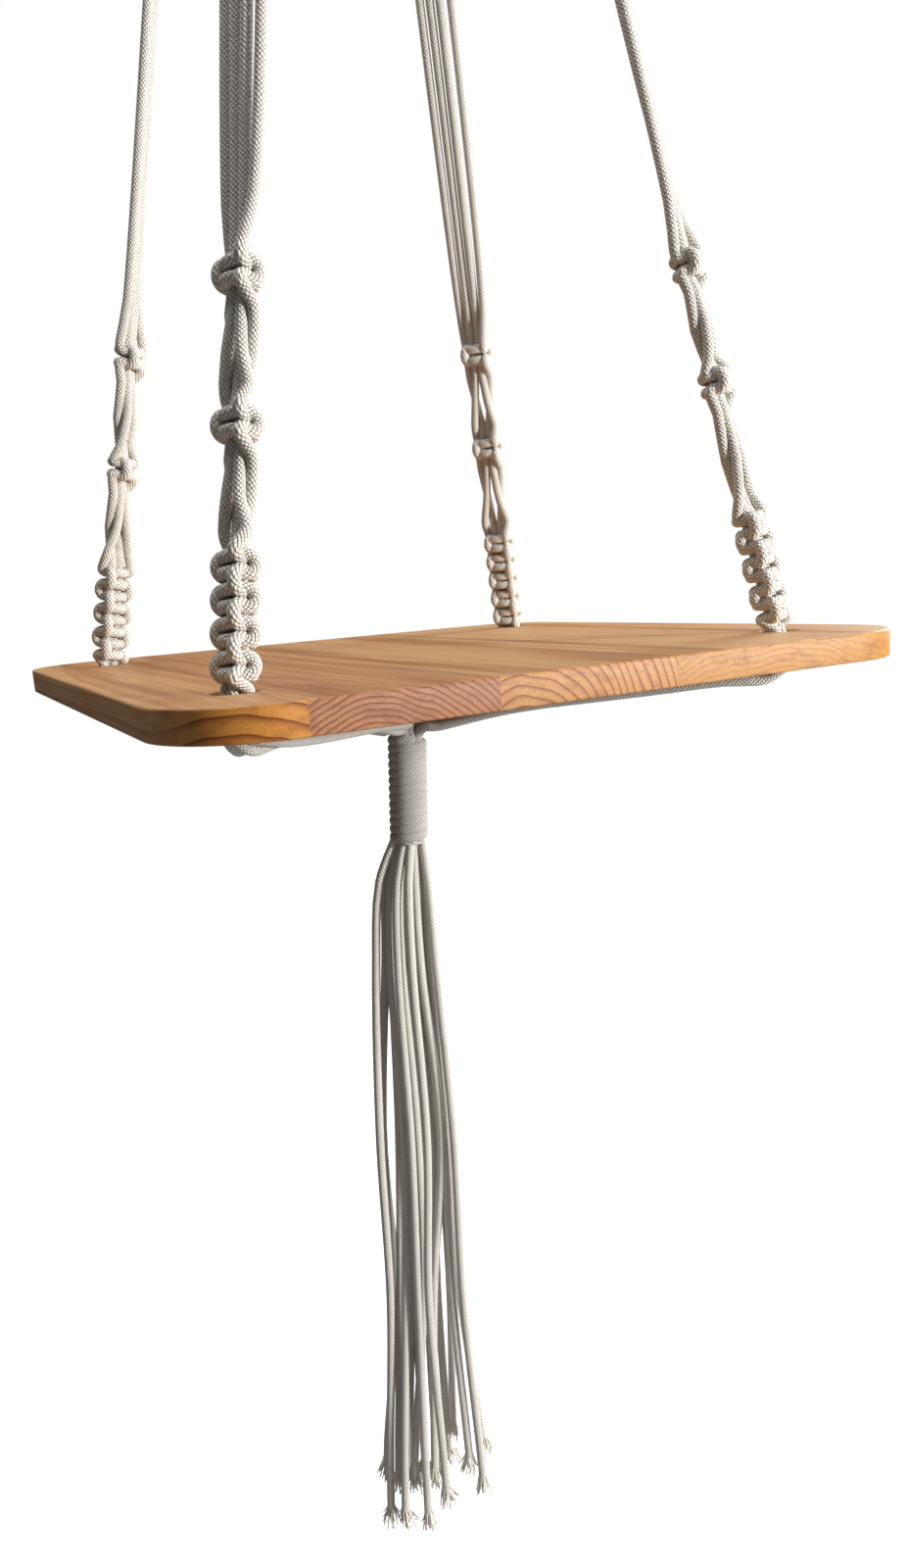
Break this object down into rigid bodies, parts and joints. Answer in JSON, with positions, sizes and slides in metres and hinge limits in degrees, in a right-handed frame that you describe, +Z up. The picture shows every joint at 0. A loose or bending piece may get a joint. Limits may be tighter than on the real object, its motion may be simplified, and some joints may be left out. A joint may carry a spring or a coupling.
{
  "type": "macrame hanging shelf",
  "caption": "Wooden shelf board with rounded corners, hung by knotted cotton cord legs from a loop, with a long cord tassel gathered beneath it.",
  "frame": {"origin": "the inside top of the hanging loop, where a hook carries the shelf", "axes": "+Z up, +X along the board's end-grain front edge, +Y along the wood's grain towards the back"},
  "size_m": [0.5, 0.52, 2.0718],
  "materials": {
    "board_wood": "edge-glued softwood staves, stained tan and waxed to a satin sheen",
    "leg_cord": "braided natural cotton cord, matt",
    "wrap_cord": "braided natural cotton cord wound tight, matt",
    "tassel_cord": "braided natural cotton cord with frayed ends, matt"
  },
  "bodies": {
    "root": {"board": "board_wood", "leg_back_left": "leg_cord", "leg_front_left": "leg_cord", "leg_back_right": "leg_cord", "leg_front_right": "leg_cord", "run_back_left": "leg_cord", "run_front_left": "leg_cord", "run_back_right": "leg_cord", "run_front_right": "leg_cord", "tassel": "tassel_cord", "top_wrap": "wrap_cord", "hanging_loop": "leg_cord"}
  },
  "joints": []
}
